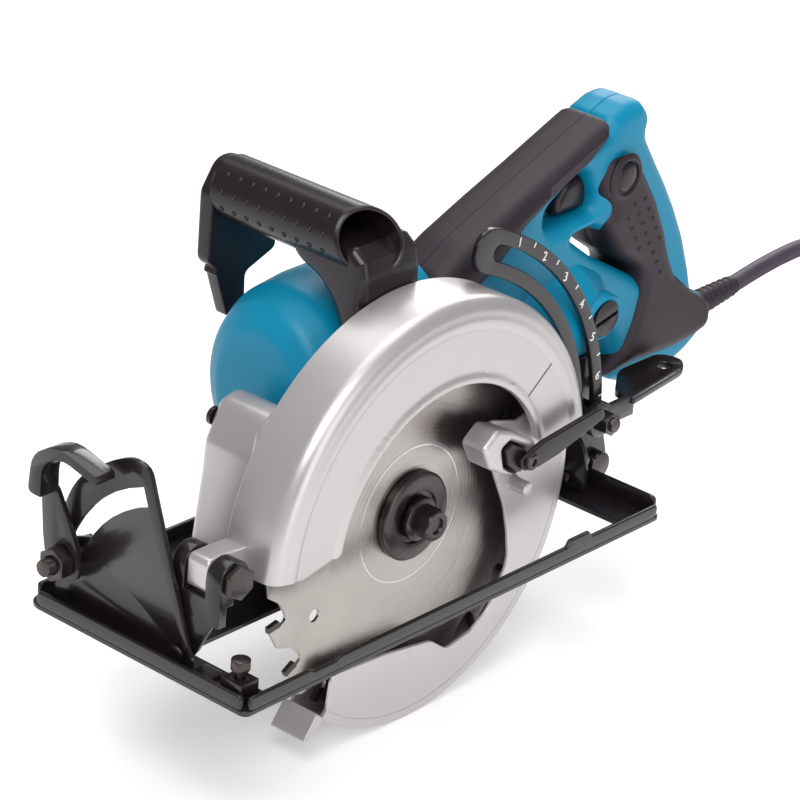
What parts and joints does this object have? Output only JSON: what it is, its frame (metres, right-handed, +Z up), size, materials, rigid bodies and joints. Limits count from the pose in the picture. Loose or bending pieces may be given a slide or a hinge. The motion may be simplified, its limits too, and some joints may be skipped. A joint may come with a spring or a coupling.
{
  "type": "hand circular saw",
  "caption": "Hand circular saw with a left-side blade, retracting lower guard, tilting sole, depth guide, front bar handle and rear D-handle.",
  "frame": {"origin": "a point on the flat underside of the sole, straight below the arbor's axis and 60 mm to the motor's side of the blade's plane", "axes": "+X towards the rear handle along the cut, -Y towards the blade's side, +Z up, out of the work"},
  "size_m": [0.7074, 0.185, 0.2477],
  "materials": {
    "silver_paint": "fine metallic silver paint, satin",
    "teal_plastic": "teal glass-filled nylon, fine texture",
    "black_rubber": "soft black overmould",
    "black_plastic": "black plastic, semi-gloss",
    "black_steel": "gloss black coated steel",
    "blade_steel": "ground blade steel",
    "dark_steel": "black-oxide steel fasteners",
    "bright_steel": "turned steel",
    "copper": "copper windings and segments",
    "cord_rubber": "rubber cord sheath"
  },
  "bodies": {
    "body": {"gear_housing": "silver_paint", "gear_cover": "silver_paint", "blade_case": "silver_paint", "front_cover": "teal_plastic", "front_handle": "black_plastic", "motor_housing": "teal_plastic", "stator": "dark_steel", "brush_cap_left": "black_plastic", "brush_cap_right": "black_plastic", "spindle_bearing_near": "bright_steel", "spindle_bearing_far": "bright_steel", "motor_bearing_front": "bright_steel", "motor_bearing_rear": "bright_steel", "guard_spring": "bright_steel", "handle_left": "teal_plastic", "handle_right": "teal_plastic", "spine_grip_left": "black_rubber", "spine_grip_right": "black_rubber", "grip_pad_left": "black_rubber", "grip_pad_right": "black_rubber", "switch_body": "black_plastic", "depth_clamp_bolt": "dark_steel", "clamp_boss": "black_steel", "tilt_pin": "dark_steel", "cord_guard": "black_rubber", "cord_run": "cord_rubber", "cord_coil": "cord_rubber", "plug": "black_plastic"},
    "blade_shaft": {"saw_blade": "blade_steel", "inner_flange": "dark_steel", "outer_flange": "dark_steel", "arbor_bolt": "dark_steel", "spindle": "bright_steel", "ring_gear": "dark_steel"},
    "armature": {"armature_core": "copper", "commutator": "copper", "cooling_fan": "black_plastic", "armature_shaft": "bright_steel"},
    "lower_guard": {"lower_guard": "silver_paint", "guard_lever": "black_plastic", "lever_screw": "dark_steel"},
    "tilt_frame": {"front_link": "black_steel", "rear_link": "black_steel", "guide_pin": "dark_steel", "bevel_bolt": "dark_steel", "bevel_rivet_front": "dark_steel", "bevel_rivet_rear": "dark_steel"},
    "depth_guide": {"depth_guide": "black_steel"},
    "depth_lever": {"depth_lever": "black_steel"},
    "bevel_lever": {"bevel_lever": "black_steel", "bevel_nut": "dark_steel"},
    "bevel_thumb_bolt": {"bevel_thumb_bolt": "black_steel"},
    "sole": {"sole": "black_steel", "bevel_quadrant_front": "black_steel", "bevel_quadrant_rear": "black_steel", "fence_clamp_block": "black_steel", "sight_tongue": "black_steel"},
    "fence_clamp_screw": {"fence_clamp_screw": "dark_steel"},
    "trigger": {"trigger": "black_plastic"},
    "lock_button": {"lock_button": "black_plastic"}
  },
  "joints": [
    {"name": "blade_spin", "type": "hinge", "parent": "body", "child": "blade_shaft", "pos_m": [0, -0.06, 0.034], "axis": [0, -1, 0], "continuous": true},
    {"name": "armature_spin", "type": "hinge", "parent": "body", "child": "armature", "pos_m": [0.155, -0.016, 0.084], "axis": [0.9781, 0, 0.2079], "continuous": true},
    {"name": "guard_swing", "type": "hinge", "parent": "body", "child": "lower_guard", "pos_m": [0, -0.06, 0.034], "axis": [0, -1, 0], "range_deg": [0, 110], "stiffness_Nm_per_rad": 0.15, "springref_deg": -85.94},
    {"name": "depth_tilt", "type": "hinge", "parent": "body", "child": "tilt_frame", "pos_m": [-0.122, -0.0535, 0.045], "axis": [0, 1, 0], "range_deg": [0, 28]},
    {"name": "guide_swing", "type": "hinge", "parent": "tilt_frame", "child": "depth_guide", "pos_m": [0.149, -0.0499, 0.009], "axis": [0, 1, 0], "range_deg": [0, 19.4]},
    {"name": "bevel_tilt", "type": "hinge", "parent": "tilt_frame", "child": "sole", "pos_m": [0, -0.05, 0.007], "axis": [-1, 0, 0], "range_deg": [0, 45]},
    {"name": "depth_lever_turn", "type": "hinge", "parent": "body", "child": "depth_lever", "pos_m": [0.14, -0.058, 0.038], "axis": [0, 1, 0], "range_deg": [0, 35]},
    {"name": "bevel_lever_turn", "type": "hinge", "parent": "tilt_frame", "child": "bevel_lever", "pos_m": [-0.14, 0.017, 0.027], "axis": [-1, 0, 0], "range_deg": [0, 75]},
    {"name": "thumb_bolt_turn", "type": "hinge", "parent": "tilt_frame", "child": "bevel_thumb_bolt", "pos_m": [0.14, -0.026, 0.024], "axis": [1, 0, 0], "range_deg": [0, 360]},
    {"name": "fence_screw_turn", "type": "hinge", "parent": "sole", "child": "fence_clamp_screw", "pos_m": [-0.1371, -0.088, 0.015], "axis": [0, 0, 1], "range_deg": [0, 360]},
    {"name": "trigger_pull", "type": "slide", "parent": "body", "child": "trigger", "axis": [1, 0, 0], "range_m": [0, 0.007], "stiffness_N_per_m": 600, "springref_m": -0.004},
    {"name": "lock_push", "type": "slide", "parent": "body", "child": "lock_button", "axis": [0, 1, 0], "range_m": [0, 0.003], "stiffness_N_per_m": 800, "springref_m": -0.002}
  ],
  "couplings": [
    {"joint": "armature_spin", "follows": "blade_spin", "ratio": 5.375},
    {"joint": "guide_swing", "follows": "depth_tilt", "ratio": 0.69}
  ]
}
